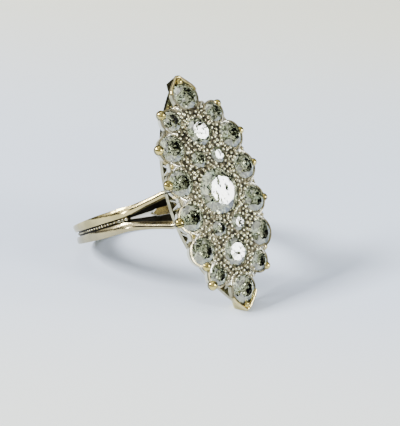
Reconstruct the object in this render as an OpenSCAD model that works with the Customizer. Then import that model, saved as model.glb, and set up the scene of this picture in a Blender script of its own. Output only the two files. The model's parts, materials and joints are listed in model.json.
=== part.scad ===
// Navette cluster ring with a split, reeded shank, resting on its head's lower tip and the back of its shank.
// Ring frame used inside the modules: +X out of the head's face, +Y across the head, +Z along the finger hole
// and the head's long axis. The whole ring is then leaned back and lifted so that it rests on z = 0.

/* [Finger and shank] */
// inside diameter of the finger hole
finger_d = 17.2; // [14:0.1:22]
// thickness of the shank behind the finger
shank_wall = 1.3; // [0.9:0.05:2]
// width of the shank below the shoulders
side_width = 2.75; // [2:0.05:4]
// width of the shank at the back
back_width = 1.8; // [1.5:0.05:4]
// width of the groove between the two bands
groove_width = 0.6; // [0.3:0.05:1]
// depth of the groove between the two bands
groove_depth = 0.5; // [0.2:0.05:0.8]
// angle from the head at which the bands leave the circle and fork
fork_angle = 58; // [50:1:70]
// width over both branches where they meet the head
fork_width = 4.4; // [3.5:0.1:6]
// how far towards the lower tip the branches have slipped where they meet the head
fork_drop = 0.36; // [0:0.02:0.6]
// width of one reeded rail where it meets the head
rail_width = 0.68; // [0.4:0.02:1]

/* [Head] */
// from the finger hole's axis to the plane of the centre stone's girdle
head_rise = 13; // [11:0.1:16]
// radius of the dome that the stones sit on
dome_r = 72; // [40:1:120]
// thickness of the domed plate
plate_t = 0.55; // [0.5:0.05:1.2]
// rim of metal outside each border stone
rim = 0.15; // [0.1:0.05:0.4]
// how far the web between border stones reaches outside the line of their centres
web = 0.87; // [0.4:0.01:1.2]
// thickness of the walled cap round each end stone
cap_wall = 0.3; // [0.2:0.05:0.4]
// half the length of the base rail
base_half_length = 13.0; // [11:0.1:15]
// half the width of the base rail
base_half_width = 5.35; // [4:0.05:7]
// depth of the base rail's top below the girdle plane
base_depth = 2.3; // [1.6:0.1:3]
// height and width of the base rail
base_t = 0.5; // [0.3:0.05:0.8]

/* [Stones] */
// diameter of the centre stone
centre_d = 5.35; // [4:0.05:7]
// diameter of the two end stones
end_d = 3.25; // [2:0.05:4]
// distance of the end stones from the centre
end_f = 11.3; // [9:0.1:13]
// diameter of the two large inner stones
large_d = 3.35; // [2:0.05:4]
// distance of the large inner stones from the centre
large_f = 7.0; // [6:0.1:8]
// diameter of the four small inner stones
small_d = 2.1; // [1.4:0.05:3]
// crown angle of the cut
crown_angle = 34; // [28:0.5:40]
// pavilion angle of the cut
pavilion_angle = 41; // [38:0.5:44]
// table width as a share of the diameter
table_share = 0.55; // [0.45:0.01:0.65]
// table width of the centre and the large inner stones as a share of the diameter
wide_table_share = 0.63; // [0.45:0.01:0.65]

/* [Claws and grains] */
// radius of a border claw's rounded head on the right of the head
claw_r = 0.47; // [0.4:0.01:0.6]
// radius of a border claw's rounded head on the left of the head
left_claw_r = 0.58; // [0.4:0.01:0.65]
// radius of a setting grain
grain_r = 0.26; // [0.15:0.01:0.4]
// space between a stone and its seat
seat_gap = 0.03; // [0.02:0.01:0.08]

/* [Hidden] */
$fn = 64;
finger_r = finger_d / 2;
out_r = finger_r + shank_wall;
band_r = 0.95;
band_w = (side_width - groove_width) / 2;
band_mid = groove_width / 2 + band_w / 2;
// distance along the straight shoulder from the fork to the base rail
run = 6.3;

// classes of border stone: across, along, diameter, direction of its claw in degrees from straight across
near_end = [3.12, 8.85, 2.55, 40];
mid = [4.38, 5.83, 3.2, 8];
waist = [4.73, 1.97, 3.15, 5];
small = [1.42, 3.96, small_d];
classes = [near_end, mid, waist];
quarters = [[1, 1], [1, -1], [-1, 1], [-1, -1]];
centre_stone_at = [0, 0, centre_d];
border = [for (c = classes, q = quarters) [c[0] * q[0], c[1] * q[1], c[2]]];
smalls = [for (q = quarters) [small[0] * q[0], small[1] * q[1], small[2]]];
ends = [for (s = [1, -1]) [0, s * end_f, end_d]];
larges = [for (s = [1, -1]) [0, s * large_f, large_d]];
inner = concat([centre_stone_at], larges, smalls);
stones = concat(inner, border, ends);

// the ring rests on two small worn flats: one on the head's lower tip, one on the back edge of the shank
tip_wear = 0.2;
back_wear = 0.04;
tip_f = end_f + 2.45;
foot_f = tip_f - 0.5;
tip_x = -(base_depth + base_t);
tip_z = -foot_f;
back_z = -back_width / 2;
back_x = -head_rise - out_r + band_r - sqrt(band_r * band_r - pow(back_width / 2 - band_mid, 2));
rest_span = norm([tip_x - back_x, tip_z - back_z]);
lean = atan((back_z - tip_z) / (tip_x - back_x)) - asin((tip_wear - back_wear) / rest_span);
lift = -(tip_x * sin(lean) + tip_z * cos(lean)) - tip_wear;
// the ring's box is centred over the origin, from the lower cap's claw to the upper back edge of the shank
cap_rise = 0.1;
cap_claw_r = 0.42;
cap_claw_f = end_f + end_d / 2 + 0.12;
front = dome_x(0, cap_claw_f) * cos(lean) + cap_claw_f * sin(lean) + cap_claw_r;
shift = -(front + back_x * cos(lean) + back_z * sin(lean)) / 2;

// height of the dome's surface at a place on the head, from the girdle plane
function dome_x(t, f) = sqrt(dome_r * dome_r - t * t - f * f) - dome_r;
// place on the dome's normal through t, f, raised by h
function on_dome(t, f, h) = [-dome_r, 0, 0] + (dome_r + h) / dome_r * [dome_x(t, f) + dome_r, t, f];

module resting() {
    translate([shift, 0, lift])
        rotate([0, -lean, 0])
            children();
}

// local +Z along the dome's normal, local +Y across the head, local +X towards the lower tip
module at_seat(t, f) {
    translate([-dome_r, 0, 0])
        rotate([0, acos(f / dome_r), atan2(t, dome_x(t, f) + dome_r)])
            translate([0, 0, dome_r])
                children();
}

// the ball that the head is domed on, made h larger, with its seam turned away from the head
module dome(h) {
    translate([-dome_r, 0, 0])
        rotate([0, 0, 90])
            sphere(r = dome_r + h, $fn = 256);
}

// a round bar from a to b
module bar(a, b, r1, r2) {
    v = b - a;
    h = norm(v);
    translate(a)
        rotate([0, acos(v[2] / h), atan2(v[1], v[0])])
            cylinder(h = h, r1 = r1, r2 = r2);
}

// a lens bounded by two arcs, in the plane of the head
module lens(half_l, half_w) {
    r = (half_l * half_l + half_w * half_w) / (2 * half_w);
    intersection() {
        translate([0, r - half_w])
            circle(r = r, $fn = 256);
        translate([0, half_w - r])
            circle(r = r, $fn = 256);
    }
}

// extrudes a head outline from depth x0 up to x1, its first axis along the finger
module along_x(x0, x1) {
    translate([x0, 0, 0])
        rotate([0, 90, 0])
            linear_extrude(height = x1 - x0)
                children();
}

// half the width of a stone's table
function table_r(d) = (d < large_d ? table_share : wide_table_share) * d / 2;

// a stone's seat: open below the culet, a cone under the pavilion, the girdle band and, clear of the star
// facets, the crown's slope
module seat(d) {
    r = d / 2 + seat_gap;
    hg = 0.0125 * d + seat_gap;
    rp = 0.5 * r;
    rt = table_r(d);
    ht = (r - rt) * tan(crown_angle) + 0.03 * d;
    deep = hg + r * tan(pavilion_angle) + 0.1;
    rotate_extrude($fn = 96)
        polygon([[0, -deep], [rp, -deep], [rp, -hg - (r - rp) * tan(pavilion_angle)], [r, -hg], [r, hg],
            [rt, hg + ht], [rt, 2.5], [0, 2.5]]);
}

// a round brilliant: table, stars, kites, upper halves, girdle, lower halves and pavilion mains
module brilliant(d) {
    r = d / 2;
    g = 0.0125 * d;
    rt = table_r(d);
    ht = g + (r - rt) * tan(crown_angle);
    rs = rt + 0.55 * (r - rt);
    hs = ht - (rs * cos(22.5) - rt) * (ht - g) / (r - rt);
    hc = -g - r * tan(pavilion_angle);
    rq = 0.28 * r;
    hq = -g - (r - rq * cos(22.5)) * tan(pavilion_angle);
    pts = concat(
        [for (i = [0:7]) [rt * cos(45 * i), rt * sin(45 * i), ht]],
        [for (i = [0:7]) [rs * cos(45 * i + 22.5), rs * sin(45 * i + 22.5), hs]],
        [for (i = [0:15]) [r * cos(22.5 * i), r * sin(22.5 * i), g]],
        [for (i = [0:15]) [r * cos(22.5 * i), r * sin(22.5 * i), -g]],
        [for (i = [0:7]) [rq * cos(45 * i + 22.5), rq * sin(45 * i + 22.5), hq]],
        [[0, 0, hc]]);
    faces = concat(
        [[7, 6, 5, 4, 3, 2, 1, 0]],
        [for (i = [0:7]) [i, (i + 1) % 8, 8 + i]],
        [for (i = [0:7]) [i, 8 + i, 16 + 2 * i]],
        [for (i = [0:7]) [i, 16 + 2 * i, 8 + (i + 7) % 8]],
        [for (i = [0:7]) [8 + i, 16 + 2 * i + 1, 16 + 2 * i]],
        [for (i = [0:7]) [8 + i, 16 + (2 * i + 2) % 16, 16 + 2 * i + 1]],
        [for (i = [0:15]) [16 + i, 16 + (i + 1) % 16, 32 + (i + 1) % 16, 32 + i]],
        [for (i = [0:7]) [48 + i, 32 + 2 * i, 32 + 2 * i + 1]],
        [for (i = [0:7]) [48 + i, 32 + 2 * i + 1, 32 + (2 * i + 2) % 16]],
        [for (i = [0:7]) [48 + i, 56, 32 + 2 * i]],
        [for (i = [0:7]) [56, 48 + (i + 7) % 8, 32 + 2 * i]]);
    polyhedron(points = pts, faces = faces, convexity = 2);
}

module stone(place, turn) {
    color([0.86, 0.9, 0.88, 0.6])
        resting()
            at_seat(place[0], place[1])
                rotate([0, 0, turn])
                    brilliant(place[2]);
}

module band_profile() {
    intersection() {
        translate([out_r - band_r, 0])
            circle(r = band_r, $fn = 128);
        translate([finger_r - 0.3, -band_w / 2])
            square([shank_wall + 0.4, band_w]);
    }
}

// the round part of the shank: two domed bands, the web between them and its rib
module shank_arc() {
    r_web = out_r - groove_depth;
    half_side = side_width / 2;
    half_back = back_width / 2;
    back_start = 0.2 - head_rise - out_r;
    intersection() {
        translate([-head_rise, 0, 0])
            rotate([0, 0, fork_angle])
                rotate_extrude(angle = 360 - 2 * fork_angle, $fn = 192)
                    union() {
                        for (s = [-1, 1])
                            translate([0, s * band_mid])
                                band_profile();
                        translate([finger_r - 0.3, -groove_width / 2 - 0.1])
                            square([r_web - finger_r + 0.3, groove_width + 0.2]);
                        translate([r_web, 0])
                            circle(r = 0.13, $fn = 32);
                    }
        rotate([90, 0, 0])
            translate([0, 0, -20])
                linear_extrude(height = 40)
                    polygon([[0, -half_side - 0.02], [-10.4, -half_side], [back_start, -half_back],
                        [back_start - 1.2, -half_back], [back_start - 1.2, half_back],
                        [back_start, half_back], [-10.4, half_side], [0, half_side + 0.02]]);
    }
}

// shoulder stations, measured along the straight run from the fork
function part_of(s, a, b) = min(1, max(0, (s - a) / (b - a)));
function half_out(s) = side_width / 2 + (fork_width - side_width) / 2 * pow(part_of(s, 0, 5.5), 1.7);
function rail_w(s) = band_w + (rail_width - band_w) * part_of(s, 0, 3.2);
function floor_half(s) = groove_width / 2 - 0.12 + 0.4 * part_of(s, 0, 5.5);
function open_half(s) = floor_half(s) - 0.04;
function floor_depth(s) = groove_depth - 0.04 + 0.64 * part_of(s, 0, 4);
function drop(s) = -fork_drop * max(0, s) / 5.5;
function reed(s) = 0.1 * part_of(s, -0.3, 1.6);
function under(s) = s < 2.6 ? out_r - sqrt(finger_r * finger_r - s * s) + 0.3
    : 2.05 - 0.7 * part_of(s, 2.6, run);
function half_section(s) = let (o = half_out(s), w = rail_w(s), m = floor_half(s), e = 0.16)
    [[o, -under(s)], [o, -e], [o - 0.2 * w, -0.045], [o - 0.4 * w, 0], [o - 0.5 * w, -reed(s)],
        [o - 0.6 * w, 0], [o - 0.8 * w, -0.045], [o - w, -e], [m, -floor_depth(s)]];

// one shoulder: both reeded rails, the walls that slope down between them and the long opening
module shoulder() {
    stations = [-0.3, 0.12, 0.5, 1, 1.5, 2, 2.6, 3.2, 3.8, 4.4, 5, 5.5, run];
    n = 20;
    pts = [for (s = stations) let (h = half_section(s), k = len(h))
        each concat([for (i = [0:k - 1]) [h[i][1], -s, drop(s) + h[i][0]]],
            [[-floor_depth(s), -s, drop(s)]],
            [for (i = [k - 1:-1:0]) [h[i][1], -s, drop(s) - h[i][0]]],
            [[-under(s), -s, drop(s)]])];
    last = (len(stations) - 1) * n;
    // each end is two fans, one from either lower corner
    fans = concat([for (i = [1:8]) [0, i, i + 1]], [[0, 9, 19]],
        [for (i = [9:16]) [18, i, i + 1]], [[18, 19, 9]]);
    faces = concat(
        [for (f = fans) [f[2], f[1], f[0]]],
        [for (f = fans) [last + f[0], last + f[1], last + f[2]]],
        [for (j = [0:len(stations) - 2], i = [0:n - 1]) [j * n + i, j * n + (i + 1) % n, (j + 1) * n + i]],
        [for (j = [0:len(stations) - 2], i = [0:n - 1])
            [j * n + (i + 1) % n, (j + 1) * n + (i + 1) % n, (j + 1) * n + i]]);
    translate([-head_rise, 0, 0])
        rotate([0, 0, fork_angle])
            translate([out_r, 0, 0])
                difference() {
                    polyhedron(points = pts, faces = faces, convexity = 6);
                    translate([-4, 0, 0])
                        rotate([0, 90, 0])
                            linear_extrude(height = 6)
                                polygon([[-drop(3.1), -3.1], [open_half(3.7) - drop(3.7), -3.7],
                                    [open_half(run) - drop(run + 1), -run - 1],
                                    [-open_half(run) - drop(run + 1), -run - 1],
                                    [-open_half(3.7) - drop(3.7), -3.7]]);
                }
}

// plate on the dome: a scallop round each border stone and a web between neighbours
module plate() {
    half = concat([[-end_f, 0], [-10.2, 2]], [for (c = classes) [-c[1], c[0] + web]]);
    edge = concat(half, [for (i = [len(half) - 1:-1:0]) [-half[i][0], half[i][1]]]);
    intersection() {
        difference() {
            dome(0.14);
            dome(-plate_t);
        }
        union() {
            for (b = concat(border, ends))
                at_seat(b[0], b[1])
                    translate([0, 0, -3])
                        cylinder(h = 5, r = b[2] / 2 + rim);
            along_x(-4, 2)
                polygon(concat(edge, [for (i = [len(edge) - 2:-1:1]) [edge[i][0], -edge[i][1]]]));
        }
    }
}

// the thin rail that runs round under the head
module base_rail() {
    along_x(-base_depth - base_t, -base_depth)
        difference() {
            lens(base_half_length, base_half_width);
            lens(base_half_length - base_t * 2.4, base_half_width - base_t);
        }
}

// half width of the base rail's middle line at a place along the head
function base_half(f) = let (l = base_half_length - 0.6, w = base_half_width - base_t / 2,
    r = (l * l + w * w) / (2 * w)) sqrt(r * r - f * f) - (r - w);

// a claw: a post from the base rail, and a rounded head over the stone's edge
module claw(b, turn, st, sf) {
    reach = b[2] / 2 + 0.08;
    t = st * (b[0] + reach * cos(turn));
    f = sf * (b[1] + reach * sin(turn));
    bar([-base_depth - base_t / 2, st * base_half(f), f], on_dome(t, f, 0), 0.2, 0.36);
    translate(on_dome(t, f, 0))
        sphere(r = st < 0 ? left_claw_r : claw_r, $fn = 40);
}

// two struts from the joint between border stones down to the base rail
module fork_strut(t, f) {
    top = on_dome(t, f, -0.3);
    for (s = [-1, 1])
        bar([-base_depth - base_t / 2, sign(t) * base_half(f + s * 0.62), f + s * 0.62], top, 0.18, 0.24);
    translate(top)
        sphere(r = 0.32, $fn = 32);
}

// the blunt point of an end cap, outside a circle round the end stone
module cap_point(r, tip) {
    q = (r - 0.02) * cos(45);
    w = end_f + 2 * q - tip;
    polygon([[-end_f - q, q], [-tip, w], [-tip, -w], [-end_f - q, -q], [-end_f, 0]]);
}

// end cap: a wall round the end stone's outer half, deepest at its point and sloping back to the base rail
module end_cap() {
    r = end_d / 2 + cap_wall;
    intersection() {
        along_x(tip_x, 1)
            union() {
                translate([-end_f, 0])
                    circle(r = r);
                cap_point(r, tip_f);
            }
        dome(cap_rise);
        translate([0, 0, end_f + 0.45])
            linear_extrude(height = 4)
                polygon([[1, -4], [1, 4], [1.288, 4], [-3.1, 0.297], [-3.1, -0.297], [1.288, -4]]);
        rotate([90, 0, 0])
            translate([0, 0, -4])
                linear_extrude(height = 8)
                    polygon([[2, end_f], [2, foot_f + 1.6], [-3.1, foot_f - 0.1], [-3.1, end_f]]);
    }
}

// the space inside an end cap's point, beside the end stone
module cap_pocket() {
    difference() {
        along_x(-2, 2)
            cap_point(end_d / 2, tip_f - cap_wall);
        dome(-0.3);
    }
}

// claw in an end cap's pocket
module cap_claw() {
    translate(on_dome(0, cap_claw_f, 0))
        sphere(r = cap_claw_r, $fn = 40);
}

// setting grains: small beads round each inner stone, kept where they clear the other stones
function clear_of(p, r, skip) = min([for (i = [0:len(stones) - 1])
    i == skip ? 9 : norm([p[0] - stones[i][0], p[1] - stones[i][1]]) - stones[i][2] / 2 - r]);
function ring_of(k, n, first, off) = [for (i = [0:n - 1])
    let (a = first + 360 / n * i, r = stones[k][2] / 2 + off)
        [stones[k][0] + r * sin(a), stones[k][1] + r * cos(a)]];
function grains_of(k, n, first) = [for (p = ring_of(k, n, first, 0.24))
    if (clear_of(p, 0.12, k) > 0) p];
// beads between the stones, one quarter of the head
between = [[2.75, 3.45], [3.05, 4.4], [2.5, 5.05], [4.0, 3.95], [2.0, 8.3], [5.15, 3.95]];
grains = concat(grains_of(0, 14, 0), grains_of(1, 8, 22.5), grains_of(2, 8, 22.5),
    [for (q = quarters, b = between) [q[0] * b[0], q[1] * b[1]]],
    [[4.25, 0], [-4.25, 0]]);

module metal() {
    difference() {
        union() {
            shank_arc();
            shoulder();
            mirror([0, 1, 0])
                shoulder();
            base_rail();
            difference() {
                union() {
                    plate();
                    for (s = [0, 1])
                        mirror([0, 0, s])
                            end_cap();
                }
                for (s = [0, 1])
                    mirror([0, 0, s])
                        cap_pocket();
            }
            for (s = [0, 1])
                mirror([0, 0, s])
                    cap_claw();
            for (q = quarters) {
                claw(near_end, near_end[3], q[0], q[1]);
                claw(waist, waist[3], q[0], q[1]);
                fork_strut(q[0] * 5.15, q[1] * 3.9);
                fork_strut(q[0] * 1.8, q[1] * 10.2);
            }
            for (q = [1, -1]) {
                claw(mid, mid[3], q, 1);
                claw(mid, 90, q, -1);
                fork_strut(q * 5.35, 0);
                fork_strut(q * 4.5, 7.4);
            }
            for (g = grains)
                translate(on_dome(g[0], g[1], 0.16))
                    sphere(r = grain_r, $fn = 24);
        }
        for (s = stones)
            at_seat(s[0], s[1])
                seat(s[2]);
        translate([-head_rise, 0, -10])
            cylinder(h = 20, r = finger_r, $fn = 256);
    }
}

module ring_setting() {
    color([0.83, 0.82, 0.74])
        difference() {
            resting()
                metal();
            translate([-30, -15, -5])
                cube([60, 30, 5]);
        }
}

module centre_stone() {
    stone(centre_stone_at, 0);
}

module upper_end_stone() {
    stone(ends[0], 11);
}

module lower_end_stone() {
    stone(ends[1], 4);
}

module upper_large_stone() {
    stone(larges[0], 0);
}

module lower_large_stone() {
    stone(larges[1], 0);
}

module small_stone_1() {
    stone(smalls[0], 8);
}

module small_stone_2() {
    stone(smalls[1], 17);
}

module small_stone_3() {
    stone(smalls[2], 3);
}

module small_stone_4() {
    stone(smalls[3], 12);
}

module border_stone_01() {
    stone(border[0], 5);
}

module border_stone_02() {
    stone(border[1], 14);
}

module border_stone_03() {
    stone(border[2], 20);
}

module border_stone_04() {
    stone(border[3], 9);
}

module border_stone_05() {
    stone(border[4], 2);
}

module border_stone_06() {
    stone(border[5], 16);
}

module border_stone_07() {
    stone(border[6], 7);
}

module border_stone_08() {
    stone(border[7], 19);
}

module border_stone_09() {
    stone(border[8], 12);
}

module border_stone_10() {
    stone(border[9], 1);
}

module border_stone_11() {
    stone(border[10], 15);
}

module border_stone_12() {
    stone(border[11], 6);
}

ring_setting();
centre_stone();
upper_end_stone();
lower_end_stone();
upper_large_stone();
lower_large_stone();
small_stone_1();
small_stone_2();
small_stone_3();
small_stone_4();
border_stone_01();
border_stone_02();
border_stone_03();
border_stone_04();
border_stone_05();
border_stone_06();
border_stone_07();
border_stone_08();
border_stone_09();
border_stone_10();
border_stone_11();
border_stone_12();
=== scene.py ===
# Navette cluster ring: worn white gold, round diamonds, setting grains and fine beading
import json
import math

import bpy
from mathutils import Matrix, Vector


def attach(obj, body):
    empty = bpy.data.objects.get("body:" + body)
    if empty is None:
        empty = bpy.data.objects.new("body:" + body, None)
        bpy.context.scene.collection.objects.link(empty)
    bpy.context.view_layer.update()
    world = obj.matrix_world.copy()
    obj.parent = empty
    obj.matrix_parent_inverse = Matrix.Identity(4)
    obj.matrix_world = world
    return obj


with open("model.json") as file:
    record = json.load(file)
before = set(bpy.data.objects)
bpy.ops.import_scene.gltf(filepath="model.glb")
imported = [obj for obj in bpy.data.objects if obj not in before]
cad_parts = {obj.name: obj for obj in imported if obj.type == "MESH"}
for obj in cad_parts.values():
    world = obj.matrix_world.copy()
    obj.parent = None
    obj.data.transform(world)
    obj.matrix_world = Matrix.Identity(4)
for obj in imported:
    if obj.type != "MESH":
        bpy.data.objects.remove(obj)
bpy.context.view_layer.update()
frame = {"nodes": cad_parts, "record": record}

mm = 0.001

# The ring's own axes, from the finger hole: out of the head's face, across the head, along the finger hole
hole = next(m for m in frame["record"]["mounts"] if m["name"] == "finger_hole")
along = Vector(hole["axis"]).normalized()
across = Vector((0, 1, 0))
outward = across.cross(along)
fingerCentre = Vector(hole["pos_m"])

headSize = {
    "rise": 13.0,          # finger hole's axis to the girdle plane of the centre stone, mm
    "domeRadius": 72.0,    # dome that the stones sit on, mm
}
shankSize = {
    "outerRadius": 9.9,    # mm
    "forkAngle": 58.0,     # where the bands leave the circle, degrees from the head
}
headCentre = fingerCentre + outward * headSize["rise"] * mm
domeCentre = headCentre - outward * headSize["domeRadius"] * mm


# a point in mm along the ring's axes, measured from the head's centre
def place(out, side, length):
    return headCentre + (outward * out + across * side + along * length) * mm


# a point above the dome's surface
def onDome(side, length, lift):
    radius = headSize["domeRadius"]
    up = math.sqrt(radius * radius - side * side - length * length)
    direction = (outward * up + across * side + along * length).normalized()
    return domeCentre + direction * (radius + lift) * mm


# where a stone sits and its radius in mm, read from its node
def seatOf(node):
    spots = [Vector(s) for s in {tuple(round(c, 7) for c in v.co) for v in node.data.vertices}]
    middle = sum(spots, Vector()) / len(spots)
    axis = (middle - domeCentre).normalized()
    reach = max((s - domeCentre - axis * axis.dot(s - domeCentre)).length for s in spots)
    radius = headSize["domeRadius"]
    return {"side": radius * axis.dot(across), "length": radius * axis.dot(along), "r": reach / mm}


stoneNames = [n for n in sorted(frame["nodes"]) if "_stone" in n]
seats = {n: seatOf(frame["nodes"][n]) for n in stoneNames}
edgeNames = [n for n in stoneNames if n.startswith("border") or "_end_" in n]
print("stones read:", len(seats))


# Camera and studio
cameraSize = {
    "at": (87.01, -72.33, -1.0),     # mm, along the ring's axes from the head's centre
    "right": (0.5950626, 0.7493025, -0.2905964),
    "down": (-0.1754452, -0.2317472, -0.956824),
    "lens": 85.63,                   # mm on a 36 mm sensor, across the photograph's longer side
}


def ringDirection(v):
    return outward * v[0] + across * v[1] + along * v[2]


def addCamera(size):
    right = ringDirection(size["right"]).normalized()
    down = ringDirection(size["down"])
    up = -(down - right * down.dot(right)).normalized()
    back = right.cross(up)
    data = bpy.data.cameras.new("camera")
    data.lens = size["lens"]
    data.sensor_width = 36
    data.clip_start = 0.005
    data.clip_end = 20
    obj = bpy.data.objects.new("camera", data)
    turn = Matrix((right, up, back)).transposed().to_4x4()
    turn.translation = place(*size["at"])
    obj.matrix_world = turn
    bpy.context.collection.objects.link(obj)
    bpy.context.scene.camera = obj
    return obj


# an area light that faces the head
def addSoftbox(name, direction, distance, width, height, power, colour):
    data = bpy.data.lights.new(name, "AREA")
    data.shape = "RECTANGLE"
    data.size, data.size_y = width, height
    data.energy = power
    data.color = colour
    obj = bpy.data.objects.new(name, data)
    way = direction.normalized()
    side = along.cross(way)
    side = side.normalized() if side.length > 0.1 else across
    up = way.cross(side)
    turn = Matrix((side, up, way)).transposed().to_4x4()
    turn.translation = headCentre + way * distance
    obj.matrix_world = turn
    bpy.context.collection.objects.link(obj)


camera = addCamera(cameraSize)

# the strip is where the tables of the middle stones mirror it into the camera
toCamera = (camera.location - headCentre).normalized()
mirrored = outward * 2 * outward.dot(toCamera) - toCamera
lightSizes = {    # direction from the head, then distance, width and height in m, watts and colour
    "table strip": (mirrored + across * 0.03, 0.5, 0.036, 0.24, 0.75, (1, 1, 1)),
    "window": (Vector((-0.35, -0.72, 0.6)), 0.8, 0.18, 0.28, 15.8, (1.0, 0.995, 0.98)),
    "far fill": (Vector((0.88, 0.33, 0.33)), 0.8, 0.17, 0.17, 5.0, (1.0, 1.0, 0.98)),
    "overhead": (Vector((-0.2, -0.1, 1)), 0.9, 0.4, 0.4, 0.9, (1, 1, 1)),
}
for name, values in lightSizes.items():
    addSoftbox(name, *values)
print("camera and lights placed")


# Node helpers
def addNode(tree, kind, **settings):
    node = tree.nodes.new(kind)
    for key, value in settings.items():
        setattr(node, key, value)
    return node


def newGroup(name, kind, inputs, outputs):
    tree = bpy.data.node_groups.new(name, kind)
    for label, socket, value in inputs:
        made = tree.interface.new_socket(label, in_out="INPUT", socket_type="NodeSocket" + socket)
        if value is not None:
            made.default_value = value
    for label, socket in outputs:
        tree.interface.new_socket(label, in_out="OUTPUT", socket_type="NodeSocket" + socket)
    return tree, tree.nodes.new("NodeGroupInput"), tree.nodes.new("NodeGroupOutput")


def maths(tree, operation, a, b=None, c=None, clamp=False):
    node = addNode(tree, "ShaderNodeMath", operation=operation, use_clamp=clamp)
    for socket, value in zip(node.inputs, (a, b, c)):
        if value is None:
            continue
        if isinstance(value, (int, float)):
            socket.default_value = value
        else:
            tree.links.new(value, socket)
    return node.outputs[0]


def product(tree, first, *others):
    for other in others:
        first = maths(tree, "MULTIPLY", first, other)
    return first


# where a mask is off
def off(tree, mask):
    return maths(tree, "SUBTRACT", 1.0, mask)


def absolute(tree, value):
    return maths(tree, "ABSOLUTE", value)


# a smooth step from low to high
def ramp(tree, value, low, high):
    node = addNode(tree, "ShaderNodeMapRange", interpolation_type="SMOOTHSTEP")
    tree.links.new(value, node.inputs["Value"])
    for label, edge in (("From Min", low), ("From Max", high)):
        if isinstance(edge, (int, float)):
            node.inputs[label].default_value = edge
        else:
            tree.links.new(edge, node.inputs[label])
    return node.outputs["Result"]


def dotWith(tree, vector, axis):
    node = addNode(tree, "ShaderNodeVectorMath", operation="DOT_PRODUCT")
    tree.links.new(vector, node.inputs[0])
    node.inputs[1].default_value = axis
    return node.outputs["Value"]


# Object coordinates turned into mm along the ring's axes, with the height over the dome
def ringPlaceGroup():
    tree, _, end = newGroup("RingPlace", "ShaderNodeTree", [],
        [("Out", "Float"), ("Side", "Float"), ("Length", "Float"), ("Dome Height", "Float"),
            ("Place", "Vector")])
    coords = addNode(tree, "ShaderNodeTexCoord")
    shift = addNode(tree, "ShaderNodeVectorMath", operation="SUBTRACT")
    tree.links.new(coords.outputs["Object"], shift.inputs[0])
    shift.inputs[1].default_value = headCentre
    for label, axis in (("Out", outward), ("Side", across), ("Length", along)):
        tree.links.new(dotWith(tree, shift.outputs[0], axis / mm), end.inputs[label])
    fromDome = addNode(tree, "ShaderNodeVectorMath", operation="DISTANCE")
    tree.links.new(coords.outputs["Object"], fromDome.inputs[0])
    fromDome.inputs[1].default_value = domeCentre
    height = maths(tree, "MULTIPLY_ADD", fromDome.outputs["Value"], 1 / mm, -headSize["domeRadius"])
    tree.links.new(height, end.inputs["Dome Height"])
    scaled = addNode(tree, "ShaderNodeVectorMath", operation="SCALE")
    tree.links.new(shift.outputs[0], scaled.inputs[0])
    scaled.inputs["Scale"].default_value = 1 / mm
    tree.links.new(scaled.outputs[0], end.inputs["Place"])
    return tree


# slow drift between two tones
def toneDriftGroup():
    tree, start, end = newGroup("ToneDrift", "ShaderNodeTree",
        [("Place", "Vector", None), ("Tone A", "Color", (0.8, 0.8, 0.7, 1)),
            ("Tone B", "Color", (0.7, 0.7, 0.6, 1)), ("Scale", "Float", 0.6)],
        [("Tone", "Color")])
    noise = addNode(tree, "ShaderNodeTexNoise")
    noise.inputs["Detail"].default_value = 4
    tree.links.new(start.outputs["Place"], noise.inputs["Vector"])
    tree.links.new(start.outputs["Scale"], noise.inputs["Scale"])
    mix = addNode(tree, "ShaderNodeMix", data_type="RGBA")
    tree.links.new(ramp(tree, noise.outputs["Fac"], 0.35, 0.65), mix.inputs[0])
    tree.links.new(start.outputs["Tone A"], mix.inputs[6])
    tree.links.new(start.outputs["Tone B"], mix.inputs[7])
    tree.links.new(mix.outputs[2], end.inputs["Tone"])
    return tree


# fine rubbed scratches and dents: a height for bump and a change of roughness
def wearGroup():
    tree, start, end = newGroup("RubbedWear", "ShaderNodeTree",
        [("Place", "Vector", None), ("Scratch Scale", "Float", 9.0), ("Dent Scale", "Float", 2.2),
            ("Base Roughness", "Float", 0.16), ("Spread", "Float", 0.14)],
        [("Height", "Float"), ("Roughness", "Float")])
    stretched = addNode(tree, "ShaderNodeMapping")
    stretched.inputs["Rotation"].default_value = (0.5, 0.3, 0.8)
    stretched.inputs["Scale"].default_value = (1.0, 0.12, 1.0)
    tree.links.new(start.outputs["Place"], stretched.inputs["Vector"])
    scratch = addNode(tree, "ShaderNodeTexNoise")
    scratch.inputs["Detail"].default_value = 6
    tree.links.new(stretched.outputs[0], scratch.inputs["Vector"])
    tree.links.new(start.outputs["Scratch Scale"], scratch.inputs["Scale"])
    dents = addNode(tree, "ShaderNodeTexNoise")
    dents.inputs["Detail"].default_value = 2
    tree.links.new(start.outputs["Place"], dents.inputs["Vector"])
    tree.links.new(start.outputs["Dent Scale"], dents.inputs["Scale"])
    height = maths(tree, "MULTIPLY_ADD", scratch.outputs["Fac"], 0.35, dents.outputs["Fac"])
    tree.links.new(height, end.inputs["Height"])
    rough = maths(tree, "MULTIPLY_ADD", scratch.outputs["Fac"], start.outputs["Spread"],
        start.outputs["Base Roughness"])
    tree.links.new(rough, end.inputs["Roughness"])
    return tree


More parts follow.
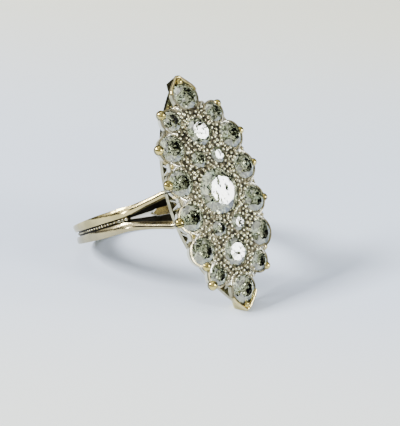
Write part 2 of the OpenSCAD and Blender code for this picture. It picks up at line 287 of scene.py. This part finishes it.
# painted shade: darkens where a depth value is high, with a ragged edge
def depthShadeGroup():
    tree, start, end = newGroup("DepthShade", "ShaderNodeTree",
        [("Place", "Vector", None), ("Depth", "Float", 0.0), ("Begins", "Float", 0.0),
            ("Full", "Float", 1.0), ("Ragged", "Float", 0.1), ("Scale", "Float", 3.0)],
        [("Mask", "Float")])
    noise = addNode(tree, "ShaderNodeTexNoise")
    noise.inputs["Detail"].default_value = 5
    tree.links.new(start.outputs["Place"], noise.inputs["Vector"])
    tree.links.new(start.outputs["Scale"], noise.inputs["Scale"])
    swing = maths(tree, "SUBTRACT", noise.outputs["Fac"], 0.5)
    swing = maths(tree, "MULTIPLY", swing, start.outputs["Ragged"])
    value = maths(tree, "ADD", start.outputs["Depth"], swing)
    tree.links.new(ramp(tree, value, start.outputs["Begins"], start.outputs["Full"]), end.inputs["Mask"])
    return tree


ringPlace = ringPlaceGroup()
toneDrift = toneDriftGroup()
rubbedWear = wearGroup()
depthShade = depthShadeGroup()


def useGroup(tree, group, **values):
    node = addNode(tree, "ShaderNodeGroup", node_tree=group)
    for label, value in values.items():
        socket = node.inputs[label.replace("_", " ")]
        if isinstance(value, (int, float, tuple)):
            socket.default_value = value
        else:
            tree.links.new(value, socket)
    return node


def blendTones(tree, factor, low, high):
    mix = addNode(tree, "ShaderNodeMix", data_type="RGBA")
    tree.links.new(factor, mix.inputs[0])
    for socket, value in ((mix.inputs[6], low), (mix.inputs[7], high)):
        if isinstance(value, tuple):
            socket.default_value = value
        else:
            tree.links.new(value, socket)
    return mix.outputs[2]


def newMaterial(name):
    material = bpy.data.materials.new(name)
    material.use_nodes = True
    tree = material.node_tree
    shader = tree.nodes["Principled BSDF"]
    return material, tree, shader


# the wear's height as bump, its depth in mm
def wearBump(tree, shader, wear, strength, depth):
    bump = addNode(tree, "ShaderNodeBump")
    bump.inputs["Strength"].default_value = strength
    bump.inputs["Distance"].default_value = depth * mm
    tree.links.new(wear.outputs["Height"], bump.inputs["Height"])
    tree.links.new(bump.outputs[0], shader.inputs["Normal"])


goldLook = {
    "shank": ((0.57, 0.47, 0.22, 1), (0.40, 0.33, 0.15, 1)),
    "head": ((0.50, 0.46, 0.30, 1), (0.30, 0.27, 0.16, 1)),
    "claws": ((0.64, 0.53, 0.19, 1), (0.34, 0.28, 0.09, 1)),
    "lowBandShade": (0.30, 0.27, 0.20, 1),    # painted shade mixed into the lower band, which faces the shadowed floor
    "lowBandShadeShare": 0.5,
    "wedgeHighlight": (0.93, 0.92, 0.88, 1),   # painted highlight on the floor between the rails
    "struts": (0.68, 0.66, 0.54, 1),
    # painted shade: near black where shade falls in the recesses
    "paintedShade": (0.010, 0.009, 0.006, 1),
    "matt": 0.3,                      # roughness that the painted shade and the wedge's floor add
    "scratches": 0.05,                # mm
}
# Where each finish, painted shade and painted highlight begins and is full, mm. Oval is the share of the
# claws' oval, 1 on its edge.
goldPlaces = {
    "clawField": (5.5, 12.5),      # half axes of the oval that the claws stand on
    "clawOval": (0.98, 0.99),
    "clawHeight": (0.12, 0.2),     # over the dome
    "cap": (12.35, 12.45),         # along the head
    "capShadeEnd": (12.65, 12.35),
    "shank": (2.9, 3.2),           # below the girdles
    "shankWall": 1.3,
    "shadedLowBand": (0.0, -0.5),        # painted shade on the lower band, along the finger hole
    "groove": (0.2, 0.46),         # painted shade in the groove, depths under the bands' surface
    "grooveHalf": (0.36, 0.24),    # half width at the fork, and its growth along the shoulder
    "wedgeRun": (0.75, 0.95),      # from the fork
    "wedgeHalf": (0.05, 0.085),
    "wedgeEdge": 0.08,
    "wedgeDepth": (0.2, 0.3),
    "reedRun": (0.2, 1.6),
    "reedLine": (0.05, 0.12),      # painted shade along the reed line, from the rail's middle line
    "reedDepth": 0.3,
    "rims": (0.55, 0.75),          # oval, where the painted shade on the plate is lifted
    "rimShadeLiftHeight": 0.07,
    "plate": (-0.1, 0.1),          # height over the dome
    "crevice": (0.255, 0.385),     # painted shade on the plate, depths under the tops of the grains
    "grainTops": 0.5,
    "under": (0.4, 0.6),           # painted shade under the head, below the dome
    "underOval": (0.8, 0.7),
    "strutOval": (0.74, 0.8),
    "strutTop": (0.1, 0.2),        # below the dome
    "strutFoot": (2.1, 1.7),
    "strutLength": 9.3,
}
railSize = {
    "slip": 0.36 / 5.5,            # drift towards the lower tip along the shoulder
    "sideHalf": 1.375,             # half the shank's width at the fork, mm
    "forkHalf": 2.2,               # half the width over both rails at the head, mm
    "width": (1.075, 0.68),        # at the fork and where the rail is thin, mm
    "spreadRun": 5.5,              # the rails spread over this run from the fork, mm
    "spreadPower": 1.7,
    "narrowRun": 3.2,              # and get thinner over this one
}


# depth below the shank's outer surface, round behind the fork and flat along the straight shoulders, and the
# run from the fork along a shoulder
def shankPlace(tree, out, side):
    fork = math.radians(shankSize["forkAngle"])
    up = maths(tree, "ADD", out, headSize["rise"])
    aside = absolute(tree, side)
    radial = maths(tree, "SQRT", maths(tree, "ADD", product(tree, up, up), product(tree, side, side)))
    flat = maths(tree, "ADD", product(tree, up, math.cos(fork)), product(tree, aside, math.sin(fork)))
    run = maths(tree, "SUBTRACT", product(tree, up, math.sin(fork)), product(tree, aside, math.cos(fork)))
    isShoulder = maths(tree, "GREATER_THAN", run, 0.0)
    isRound = off(tree, isShoulder)
    reach = maths(tree, "ADD", product(tree, flat, isShoulder), product(tree, radial, isRound))
    return maths(tree, "SUBTRACT", shankSize["outerRadius"], reach), run


# how far a place on a rail lies from the rail's middle line, along the straight shoulder
def reedDistance(tree, run, offMiddle, size):
    spread = maths(tree, "MULTIPLY", run, 1 / size["spreadRun"], clamp=True)
    spread = maths(tree, "POWER", spread, size["spreadPower"])
    half = maths(tree, "MULTIPLY_ADD", spread, size["forkHalf"] - size["sideHalf"], size["sideHalf"])
    narrow = maths(tree, "MULTIPLY", run, 1 / size["narrowRun"], clamp=True)
    wide, thin = size["width"]
    halfRail = maths(tree, "MULTIPLY_ADD", narrow, (thin - wide) / 2, wide / 2)
    return absolute(tree, maths(tree, "SUBTRACT", offMiddle, maths(tree, "SUBTRACT", half, halfRail)))


# painted shade in the groove, on the walls between the rails and along each rail, and the painted highlight
# on the floor of the wedge
def shankMasks(tree, where, depth, run, length, isShank, spots):
    forward = maths(tree, "MAXIMUM", run, 0.0)
    offMiddle = absolute(tree, maths(tree, "MULTIPLY_ADD", forward, railSize["slip"], length))
    half, growth = spots["grooveHalf"]
    halfGroove = maths(tree, "MULTIPLY_ADD", forward, growth, half)
    inGroove = ramp(tree, maths(tree, "SUBTRACT", halfGroove, offMiddle), -0.05, 0.05)
    begins, full = spots["groove"]
    # painted shade in the groove
    shadeNode = useGroup(tree, depthShade, Place=where, Depth=depth, Begins=begins, Full=full, Ragged=0.1, Scale=2.5)
    outerSide = maths(tree, "LESS_THAN", depth, spots["shankWall"])
    half, growth = spots["wedgeHalf"]
    halfWedge = maths(tree, "MULTIPLY_ADD", forward, growth, half)
    inWedge = ramp(tree, halfWedge, offMiddle, maths(tree, "ADD", offMiddle, spots["wedgeEdge"]))
    wedgeHighlight = product(tree, ramp(tree, run, *spots["wedgeRun"]), inWedge)
    groove = product(tree, shadeNode.outputs[0], inGroove, isShank, outerSide, off(tree, wedgeHighlight))
    # painted shade along each rail's reed line
    reed = off(tree, ramp(tree, reedDistance(tree, run, offMiddle, railSize), *spots["reedLine"]))
    reed = product(tree, reed, ramp(tree, run, *spots["reedRun"]),
        maths(tree, "LESS_THAN", depth, spots["reedDepth"]))
    # painted highlight: the wedge's floor is coloured near white
    bright = product(tree, wedgeHighlight, isShank, ramp(tree, depth, *spots["wedgeDepth"]), outerSide)
    return maths(tree, "MAXIMUM", groove, reed), bright


# painted shade on the head: the plate between the stones and the gallery under it are darkened, and what
# stands up is left light
def headShade(tree, where, height, oval, farOut, isShank, spots):
    # the painted shade on the plate is made weaker towards the rims round the border stones
    rimShadeLift = product(tree, ramp(tree, oval, *spots["rims"]), spots["rimShadeLiftHeight"])
    low = maths(tree, "SUBTRACT", maths(tree, "SUBTRACT", spots["grainTops"], height), rimShadeLift)
    begins, full = spots["crevice"]
    crevice = useGroup(tree, depthShade, Place=where, Depth=low, Begins=begins, Full=full, Ragged=0.2, Scale=2.2)
    onPlate = product(tree, crevice.outputs[0], ramp(tree, height, *spots["plate"]))
    begins, full = spots["under"]
    under = useGroup(tree, depthShade, Place=where, Depth=product(tree, height, -1.0), Begins=begins, Full=full,
        Ragged=0.2, Scale=1.4)
    inside = product(tree, under.outputs[0], ramp(tree, oval, *spots["underOval"]))
    return product(tree, maths(tree, "MAXIMUM", onPlate, inside), off(tree, isShank),
        ramp(tree, farOut, *spots["capShadeEnd"]))


# the setting: olive shank, paler head, warm claws, painted shade in the recesses and on the lower band, a
# painted highlight on the wedge's floor
def whiteGold(look, spots):
    material, tree, shader = newMaterial("worn white gold")
    spot = useGroup(tree, ringPlace)
    where = spot.outputs["Place"]
    out, side, length = (spot.outputs[k] for k in ("Out", "Side", "Length"))
    height = spot.outputs["Dome Height"]
    wear = useGroup(tree, rubbedWear, Place=where, Scratch_Scale=7.0, Dent_Scale=1.8, Base_Roughness=0.1,
        Spread=0.16)
    shankTone, headTone, clawTone = (useGroup(tree, toneDrift, Place=where, Tone_A=look[part][0],
        Tone_B=look[part][1], Scale=scale) for part, scale in (("shank", 0.5), ("head", 1.2), ("claws", 1.6)))

    depth, run = shankPlace(tree, out, side)
    isShank = ramp(tree, product(tree, out, -1.0), *spots["shank"])
    shankShade, bright = shankMasks(tree, where, depth, run, length, isShank, spots)
    farOut = absolute(tree, length)
    wide, long = spots["clawField"]
    oval = maths(tree, "ADD", maths(tree, "POWER", maths(tree, "DIVIDE", absolute(tree, side), wide), 2.0),
        maths(tree, "POWER", maths(tree, "DIVIDE", farOut, long), 2.0))
    paintedShade = maths(tree, "MAXIMUM", shankShade,
        headShade(tree, where, height, oval, farOut, isShank, spots), clamp=True)

    # painted shade on the lower band, which faces the shadowed floor
    shadedLowBand = product(tree, ramp(tree, length, *spots["shadedLowBand"]), look["lowBandShadeShare"])
    shankColour = blendTones(tree, shadedLowBand, shankTone.outputs[0], look["lowBandShade"])
    base = blendTones(tree, isShank, headTone.outputs[0], shankColour)
    isClaw = product(tree, ramp(tree, height, *spots["clawHeight"]), ramp(tree, oval, *spots["clawOval"]))
    isCap = ramp(tree, farOut, *spots["cap"])
    base = blendTones(tree, maths(tree, "MAXIMUM", isClaw, isCap), base, clawTone.outputs[0])
    # the struts and the edges of the webs get a paler tone
    below = product(tree, height, -1.0)
    isStrut = product(tree, ramp(tree, oval, *spots["strutOval"]), ramp(tree, below, *spots["strutTop"]),
        maths(tree, "LESS_THAN", farOut, spots["strutLength"]), ramp(tree, below, *spots["strutFoot"]),
        off(tree, maths(tree, "MAXIMUM", isCap, isShank)))
    base = blendTones(tree, isStrut, base, look["struts"])
    # painted highlight on the wedge's floor
    base = blendTones(tree, bright, base, look["wedgeHighlight"])
    # painted shade over the recesses of the shank and the head
    tree.links.new(blendTones(tree, paintedShade, base, look["paintedShade"]), shader.inputs["Base Color"])
    rough = maths(tree, "MULTIPLY_ADD", paintedShade, look["matt"], wear.outputs["Roughness"])
    tree.links.new(maths(tree, "MULTIPLY_ADD", bright, look["matt"], rough), shader.inputs["Roughness"])
    shader.inputs["Metallic"].default_value = 1.0
    wearBump(tree, shader, wear, 0.25, look["scratches"])
    return material


smallLooks = {    # two tones, roughness, and the height over the dome where the painted shade at the grain's foot ends, mm
    "grain gold": (((1.0, 0.98, 0.68, 1), (0.40, 0.39, 0.24, 1)), 0.03, 0.232),
    # the ridges' pale gold is partly painted highlight on the notches' edges
    "ridge highlight gold": (((0.86, 0.84, 0.74, 1), (0.62, 0.58, 0.42, 1)), 0.1, None),
    "rib gold": (((0.50, 0.47, 0.36, 1), (0.22, 0.20, 0.14, 1)), 0.2, None),
    "cap gold": (((0.74, 0.62, 0.30, 1), (0.54, 0.45, 0.19, 1)), 0.1, None),
}


# a finish for the small pieces: one pair of tones, light wear, and for the grains painted shade at the foot
def smallGold(name):
    tones, roughness, footShadeTop = smallLooks[name]
    material, tree, shader = newMaterial(name)
    spot = useGroup(tree, ringPlace)
    where = spot.outputs["Place"]
    tone = useGroup(tree, toneDrift, Place=where, Tone_A=tones[0], Tone_B=tones[1], Scale=2.4)
    colour = tone.outputs[0]
    # painted shade at the foot of each grain
    if footShadeTop is not None:
        low = product(tree, spot.outputs["Dome Height"], -1.0)
        shadeNode = useGroup(tree, depthShade, Place=where, Depth=low, Begins=-footShadeTop, Full=0.05 - footShadeTop, Ragged=0.08,
            Scale=4.0)
        colour = blendTones(tree, shadeNode.outputs[0], colour, goldLook["paintedShade"])
    tree.links.new(colour, shader.inputs["Base Color"])
    wear = useGroup(tree, rubbedWear, Place=where, Scratch_Scale=11.0, Dent_Scale=4.0,
        Base_Roughness=roughness, Spread=0.12)
    tree.links.new(wear.outputs["Roughness"], shader.inputs["Roughness"])
    shader.inputs["Metallic"].default_value = 1.0
    wearBump(tree, shader, wear, 0.2, 0.04)
    return material


stoneLook = {
    "tint": ((0.43, 0.49, 0.29, 1), (0.62, 0.66, 0.44, 1)),
    "smudge": 0.01,           # roughness of the smudges
    "ripple": 0.03,           # unevenness of the old facets, mm
    "index": 2.42,            # of refraction
}


# cut diamond: clear, with a slow drift of tint and faint smudges on the surface
def diamond(look):
    material, tree, shader = newMaterial("cut diamond")
    where = useGroup(tree, ringPlace).outputs["Place"]
    first, second = look["tint"]
    tone = useGroup(tree, toneDrift, Place=where, Tone_A=first, Tone_B=second, Scale=0.35)
    tree.links.new(tone.outputs[0], shader.inputs["Base Color"])
    wear = useGroup(tree, rubbedWear, Place=where, Scratch_Scale=1.5, Dent_Scale=0.8, Base_Roughness=0.0,
        Spread=look["smudge"])
    tree.links.new(wear.outputs["Roughness"], shader.inputs["Roughness"])
    wearBump(tree, shader, wear, 1.0, look["ripple"])
    shader.inputs["Transmission Weight"].default_value = 1.0
    shader.inputs["IOR"].default_value = look["index"]
    return material


settingGold = whiteGold(goldLook, goldPlaces)
grainGold, ridgeHighlightGold, ribGold, capGold = (smallGold(name) for name in smallLooks)
stoneClear = diamond(stoneLook)


def dress(obj, material):
    obj.data.materials.clear()
    obj.data.materials.append(material)


dress(frame["nodes"]["ring_setting"], settingGold)
for name in stoneNames:
    dress(frame["nodes"][name], stoneClear)
print("finishes made")


# Geometry Nodes
def treeEnd(tree, start, end, geometry):
    realize = addNode(tree, "GeometryNodeRealizeInstances")
    smooth = addNode(tree, "GeometryNodeSetShadeSmooth")
    finish = addNode(tree, "GeometryNodeSetMaterial")
    tree.links.new(geometry, realize.inputs["Geometry"])
    tree.links.new(realize.outputs[0], smooth.inputs["Geometry"])
    tree.links.new(smooth.outputs[0], finish.inputs["Geometry"])
    tree.links.new(start.outputs["Finish"], finish.inputs["Material"])
    tree.links.new(finish.outputs[0], end.inputs["Geometry"])


# beads on points, with a random size
def beadsOn(tree, start, points):
    bead = addNode(tree, "GeometryNodeMeshIcoSphere")
    bead.inputs["Subdivisions"].default_value = 2
    tree.links.new(start.outputs["Bead Radius"], bead.inputs["Radius"])
    spread = addNode(tree, "FunctionNodeRandomValue", data_type="FLOAT")
    low = maths(tree, "SUBTRACT", 1.0, start.outputs["Size Variation"])
    tree.links.new(low, spread.inputs[2])
    spread.inputs[3].default_value = 1.0
    tree.links.new(start.outputs["Seed"], spread.inputs["Seed"])
    instances = addNode(tree, "GeometryNodeInstanceOnPoints")
    tree.links.new(points, instances.inputs["Points"])
    tree.links.new(bead.outputs["Mesh"], instances.inputs["Instance"])
    tree.links.new(spread.outputs[1], instances.inputs["Scale"])
    return instances.outputs[0]


beadInputs = [("Geometry", "Geometry", None), ("Bead Radius", "Float", 0.2 * mm),
    ("Spacing", "Float", 0.4 * mm), ("Size Variation", "Float", 0.3), ("Seed", "Int", 1),
    ("Finish", "Material", None)]


def scatterTree():
    tree, start, end = newGroup("ScatterBeads", "GeometryNodeTree", beadInputs, [("Geometry", "Geometry")])
    scatter = addNode(tree, "GeometryNodeDistributePointsOnFaces", distribute_method="POISSON")
    tree.links.new(start.outputs["Geometry"], scatter.inputs["Mesh"])
    tree.links.new(start.outputs["Spacing"], scatter.inputs["Distance Min"])
    scatter.inputs["Density Max"].default_value = 4e7    # more than the spacing lets through
    tree.links.new(start.outputs["Seed"], scatter.inputs["Seed"])
    treeEnd(tree, start, end, beadsOn(tree, start, scatter.outputs["Points"]))
    return tree


def rowTree():
    tree, start, end = newGroup("BeadRow", "GeometryNodeTree", beadInputs, [("Geometry", "Geometry")])
    curve = addNode(tree, "GeometryNodeMeshToCurve")
    tree.links.new(start.outputs["Geometry"], curve.inputs["Mesh"])
    steps = addNode(tree, "GeometryNodeResampleCurve", mode="LENGTH")
    tree.links.new(curve.outputs[0], steps.inputs["Curve"])
    tree.links.new(start.outputs["Spacing"], steps.inputs["Length"])
    treeEnd(tree, start, end, beadsOn(tree, start, steps.outputs[0]))
    return tree


# a round wire along edges, thinner towards its ends
def wireTree():
    tree, start, end = newGroup("RoundWire", "GeometryNodeTree",
        [("Geometry", "Geometry", None), ("Wire Radius", "Float", 0.1 * mm), ("End Share", "Float", 0.4),
            ("Finish", "Material", None)],
        [("Geometry", "Geometry")])
    curve = addNode(tree, "GeometryNodeMeshToCurve")
    tree.links.new(start.outputs["Geometry"], curve.inputs["Mesh"])
    spline = addNode(tree, "GeometryNodeSplineParameter")
    hump = maths(tree, "SINE", maths(tree, "MULTIPLY", spline.outputs["Factor"], math.pi))
    rest = maths(tree, "SUBTRACT", 1.0, start.outputs["End Share"])
    share = maths(tree, "MULTIPLY_ADD", maths(tree, "SQRT", hump), rest, start.outputs["End Share"])
    radius = addNode(tree, "GeometryNodeSetCurveRadius")
    tree.links.new(curve.outputs[0], radius.inputs["Curve"])
    tree.links.new(share, radius.inputs["Radius"])
    profile = addNode(tree, "GeometryNodeCurvePrimitiveCircle")
    profile.inputs["Resolution"].default_value = 10
    tree.links.new(start.outputs["Wire Radius"], profile.inputs["Radius"])
    sweep = addNode(tree, "GeometryNodeCurveToMesh")
    tree.links.new(radius.outputs[0], sweep.inputs["Curve"])
    tree.links.new(profile.outputs[0], sweep.inputs["Profile Curve"])
    sweep.inputs["Fill Caps"].default_value = True
    treeEnd(tree, start, end, sweep.outputs[0])
    return tree


scatterBeads = scatterTree()
beadRow = rowTree()
roundWire = wireTree()


def carrierMesh(points, edges, faces):
    data = bpy.data.meshes.new("carrier")
    data.from_pydata(points, edges, faces)
    data.update()
    return data


# runs a tree on a carrier and keeps the result as a plain mesh
def makePiece(name, carrier, group, **values):
    obj = bpy.data.objects.new("carrier", carrier)
    bpy.context.collection.objects.link(obj)
    modifier = obj.modifiers.new("build", "NODES")
    modifier.node_group = group
    sockets = {s.name: s.identifier for s in group.interface.items_tree if s.in_out == "INPUT"}
    for label, value in values.items():
        modifier[sockets[label.replace("_", " ")]] = value
    graph = bpy.context.evaluated_depsgraph_get()
    mesh = bpy.data.meshes.new_from_object(obj.evaluated_get(graph), depsgraph=graph)
    bpy.data.objects.remove(obj)
    piece = bpy.data.objects.new(name, mesh)
    bpy.context.collection.objects.link(piece)
    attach(piece, "root")
    print(name, len(mesh.polygons), "faces")
    return piece


# joins lists of points into one carrier of open paths
def pathsMesh(paths):
    points, edges = [], []
    for path in paths:
        first = len(points)
        points += path
        edges += [(first + i, first + i + 1) for i in range(len(path) - 1)]
    return carrierMesh(points, edges, [])


# Small grains that fill the field between the stones; every size is in mm
fieldSize = {
    "radius": 0.27, "spacing": 0.45, "variation": 0.4, "seed": 7,
    "cell": 0.12,            # grid of the sheet they are scattered on
    "reach": (13, 6),        # the grid's half length and half width
    "border": 0.1,           # outside the line of the border stones' centres
    "clear": 0.04,           # kept free round each stone
    "lift": 0.1,             # over the dome
}


def clearOfStones(side, length, gap):
    return all(math.hypot(side - s["side"], length - s["length"]) > s["r"] + gap for s in seats.values())


# half width of the ground between the lines through the border stones' centres
def fieldHalf(length):
    spots = sorted((s["length"], abs(s["side"])) for n, s in seats.items() if n in edgeNames)
    for (a, wa), (b, wb) in zip(spots, spots[1:]):
        if a <= length <= b and b - a > 0.01:
            return wa + (wb - wa) * (length - a) / (b - a)
    return 0


def fieldMesh(size):
    points, faces = [], []
    cell = size["cell"]
    rows, columns = (int(reach / cell) for reach in size["reach"])
    for i in range(-rows, rows):
        for j in range(-columns, columns):
            side, length = (j + 0.5) * cell, (i + 0.5) * cell
            outside = abs(side) > fieldHalf(length) + size["border"]
            if outside or not clearOfStones(side, length, size["clear"]):
                continue
            first = len(points)
            for a, b in ((j, i), (j + 1, i), (j + 1, i + 1), (j, i + 1)):
                points.append(onDome(a * cell, b * cell, size["lift"]))
            faces.append((first, first + 1, first + 2, first + 3))
    return carrierMesh(points, [], faces)


makePiece("field_grains", fieldMesh(fieldSize), scatterBeads, Bead_Radius=fieldSize["radius"] * mm,
    Spacing=fieldSize["spacing"] * mm, Size_Variation=fieldSize["variation"], Seed=fieldSize["seed"],
    Finish=grainGold)


# Ridges in the notches between neighbouring border stones, in a pale gold that is partly painted highlight
ridgeSize = {
    "radius": 0.17, "inner": 0.6, "lift": 0.14, "endShare": 0.45,
    "outer": 0.75, "spread": 0.5,            # along the sides
    "endOuter": 0.35, "endSpread": 0.15,     # beside the end stones
}


# two lines that start together between the stones and part towards the web's edge, one along each stone
def ridgePaths(a, b, size):
    between = Vector((b["side"] - a["side"], b["length"] - a["length"]))
    way = between.normalized()
    out = Vector((way.y, -way.x))
    if out.x * (a["side"] + b["side"]) < 0:
        out = -out
    meet = Vector((a["side"], a["length"])) + way * (a["r"] + (between.length - a["r"] - b["r"]) / 2)
    byEnd = min(abs(a["side"]), abs(b["side"])) < 0.5
    outer, spread = (size[k] for k in (("endOuter", "endSpread") if byEnd else ("outer", "spread")))
    paths = []
    for turn in (1, -1):
        steps = [-size["inner"] + (size["inner"] + outer) * i / 8 for i in range(9)]
        spots = [meet + out * s + way * turn * spread * (max(0.0, s) / outer) ** 1.5 for s in steps]
        paths.append([onDome(p.x, p.y, size["lift"]) for p in spots])
    return paths


ridges = []
for sign in (1, -1):
    oneSide = [seats[n] for n in edgeNames if seats[n]["side"] * sign > -0.5]
    chain = sorted(oneSide, key=lambda s: s["length"])
    for a, b in zip(chain, chain[1:]):
        ridges += ridgePaths(a, b, ridgeSize)
makePiece("notch_ridges", pathsMesh(ridges), roundWire, Wire_Radius=ridgeSize["radius"] * mm,
    End_Share=ridgeSize["endShare"], Finish=ridgeHighlightGold)


# Beaded rib in the shank's groove, and the small knot of beads where the bands fork
ribSize = {
    "radius": 0.18, "spacing": 0.46, "variation": 0.25, "seed": 3,    # mm
    "pathRadius": 9.42,
    "clear": 1.5,    # degrees kept free before each fork
}
knotSize = {
    "radius": 0.27, "spacing": 0.42, "variation": 0.2, "seed": 5,
    "run": (-0.45, 0.45), "depth": 0.34,    # from the fork, and under the bands' surface
}


def ribPath(size):
    first = shankSize["forkAngle"] + size["clear"]
    last = 360 - first
    turns = [math.radians(first + (last - first) * i / 180) for i in range(181)]
    return [place(size["pathRadius"] * math.cos(a) - headSize["rise"], size["pathRadius"] * math.sin(a), 0)
        for a in turns]


# a point on a straight shoulder: its run from the fork and its depth under the outer surface
def onShoulder(run, depth, sign):
    fork = math.radians(shankSize["forkAngle"])
    reach = shankSize["outerRadius"] - depth
    return place(reach * math.cos(fork) + run * math.sin(fork) - headSize["rise"],
        sign * (reach * math.sin(fork) - run * math.cos(fork)), 0)


makePiece("groove_beads", pathsMesh([ribPath(ribSize)]), beadRow, Bead_Radius=ribSize["radius"] * mm,
    Spacing=ribSize["spacing"] * mm, Size_Variation=ribSize["variation"], Seed=ribSize["seed"],
    Finish=ribGold)
knots = [[onShoulder(run, knotSize["depth"], sign) for run in knotSize["run"]] for sign in (1, -1)]
makePiece("fork_beads", pathsMesh(knots), beadRow, Bead_Radius=knotSize["radius"] * mm,
    Spacing=knotSize["spacing"] * mm, Size_Variation=knotSize["variation"], Seed=knotSize["seed"],
    Finish=ribGold)


# Rounded lips along the walls of the two end caps
capSize = {
    "wall": 0.3, "rise": 0.08, "radius": 0.2, "endShare": 0.4,
    "tip": 2.45,    # mm from the end stone's middle
    "from": 16,     # degrees, where the arc begins
}


# the middle line of the cap's wall: an arc round the end stone up to 45 degrees, then straight to a point
def lipPath(seat, size):
    reach = seat["r"] + size["wall"] / 2
    tip = size["tip"] - size["wall"] / 2
    corner = reach * math.sqrt(0.5)
    blunt = 2 * corner - tip
    sign = 1 if seat["length"] > 0 else -1
    turns = [math.radians(a) for a in range(size["from"], 46, 5)]
    half = [(reach * math.cos(a), reach * math.sin(a)) for a in turns]
    for i in range(1, 7):
        rest = 1 - i / 6
        half.append((blunt + (corner - blunt) * rest, tip + (corner - tip) * rest))
    whole = half + [(0.0, tip)] + [(-x, y) for x, y in reversed(half)]
    return [onDome(x, seat["length"] + sign * y, size["rise"]) for x, y in whole]


ends = [seats[n] for n in ("upper_end_stone", "lower_end_stone")]
makePiece("cap_lips", pathsMesh([lipPath(e, capSize) for e in ends]), roundWire,
    Wire_Radius=capSize["radius"] * mm, End_Share=capSize["endShare"], Finish=capGold)


# Small beads in the pocket between each end stone and its cap
pocketSize = {
    "radius": 0.17, "spacing": 0.33, "variation": 0.3, "seed": 9,
    "gap": 0.19, "lift": -0.05,    # from the stone's edge, and over the dome
    "clear": 15, "spread": 62,     # degrees from the point, where the beads begin and end
}


def pocketPaths(seat, size):
    reach = seat["r"] + size["gap"]
    sign = 1 if seat["length"] > 0 else -1
    paths = []
    for way in (1, -1):
        steps = [size["clear"] + (size["spread"] - size["clear"]) * i / 8 for i in range(9)]
        turns = [math.radians(90 + way * step) for step in steps]
        paths.append([onDome(reach * math.cos(a), seat["length"] + sign * reach * math.sin(a), size["lift"])
            for a in turns])
    return paths


makePiece("cap_beads", pathsMesh([p for e in ends for p in pocketPaths(e, pocketSize)]), beadRow,
    Bead_Radius=pocketSize["radius"] * mm, Spacing=pocketSize["spacing"] * mm,
    Size_Variation=pocketSize["variation"], Seed=pocketSize["seed"], Finish=grainGold)
print("pieces made")


# Floor and surroundings
floorLook = {
    "size": 6.0,                     # m
    "under": ((0.70, 0.80, 0.96, 1), (0.69, 0.78, 0.95, 1)),
    "far": (0.87, 0.89, 0.78, 1),
    "near": (0.84, 0.88, 0.87, 1),
    "farFrom": (0.02, 0.15),         # m behind the ring, where the far tone begins and is full
    "nearFrom": (0.0, -0.035),
}
roomLook = {
    "cells": 3.4,
    "dark": (0.02, 0.022, 0.024, 1),
    "bright": (2.1, 2.1, 2.05, 1),
    "share": (0.6, 0.75),            # panels above this value are bright
    "horizon": (0.1, 0.4),
    "card": (0.97, 0.88),            # dark round the direction that the tables mirror
    "strength": 0.68,
}


def addFloor(look):
    half = look["size"] / 2
    corners = [(-half, -half, 0), (half, -half, 0), (half, half, 0), (-half, half, 0)]
    floor = bpy.data.objects.new("floor", carrierMesh(corners, [], [(0, 1, 2, 3)]))
    bpy.context.collection.objects.link(floor)
    material, tree, shader = newMaterial("pale paper")
    spot = useGroup(tree, ringPlace)
    tone = useGroup(tree, toneDrift, Place=spot.outputs["Place"], Tone_A=look["under"][0],
        Tone_B=look["under"][1], Scale=0.03)
    # the paper is warmer far behind the ring and plainer in front of it
    coords = addNode(tree, "ShaderNodeTexCoord")
    away = Vector((-toCamera.x, -toCamera.y, 0)).normalized()
    distance = dotWith(tree, coords.outputs["Object"], away)
    colour = blendTones(tree, ramp(tree, distance, *look["farFrom"]), tone.outputs[0], look["far"])
    colour = blendTones(tree, ramp(tree, distance, *look["nearFrom"]), colour, look["near"])
    tree.links.new(colour, shader.inputs["Base Color"])
    shader.inputs["Roughness"].default_value = 0.9
    shader.inputs["Specular IOR Level"].default_value = 0.2
    floor.data.materials.append(material)


# a room of light and dark panels above a dark horizon, which the stones and the polished metal mirror
def addWorld(look):
    world = bpy.data.worlds.new("studio")
    world.use_nodes = True
    tree = world.node_tree
    back = tree.nodes["Background"]
    coords = addNode(tree, "ShaderNodeTexCoord")
    panels = addNode(tree, "ShaderNodeTexVoronoi")
    panels.inputs["Scale"].default_value = look["cells"]
    tree.links.new(coords.outputs["Generated"], panels.inputs["Vector"])
    shade = addNode(tree, "ShaderNodeSeparateColor")
    tree.links.new(panels.outputs["Color"], shade.inputs[0])
    height = addNode(tree, "ShaderNodeSeparateXYZ")
    tree.links.new(coords.outputs["Generated"], height.inputs[0])
    # the part that the tables mirror into the camera is darker, so that only the strip flashes in them
    card = ramp(tree, dotWith(tree, coords.outputs["Generated"], mirrored.normalized()), *look["card"])
    glow = maths(tree, "MULTIPLY", ramp(tree, shade.outputs[0], *look["share"]),
        ramp(tree, height.outputs["Z"], *look["horizon"]))
    glow = maths(tree, "MULTIPLY", glow, card)
    tone = blendTones(tree, glow, look["dark"], look["bright"])
    tree.links.new(tone, back.inputs["Color"])
    back.inputs["Strength"].default_value = look["strength"]
    bpy.context.scene.world = world


addFloor(floorLook)
addWorld(roomLook)
print("stage made")
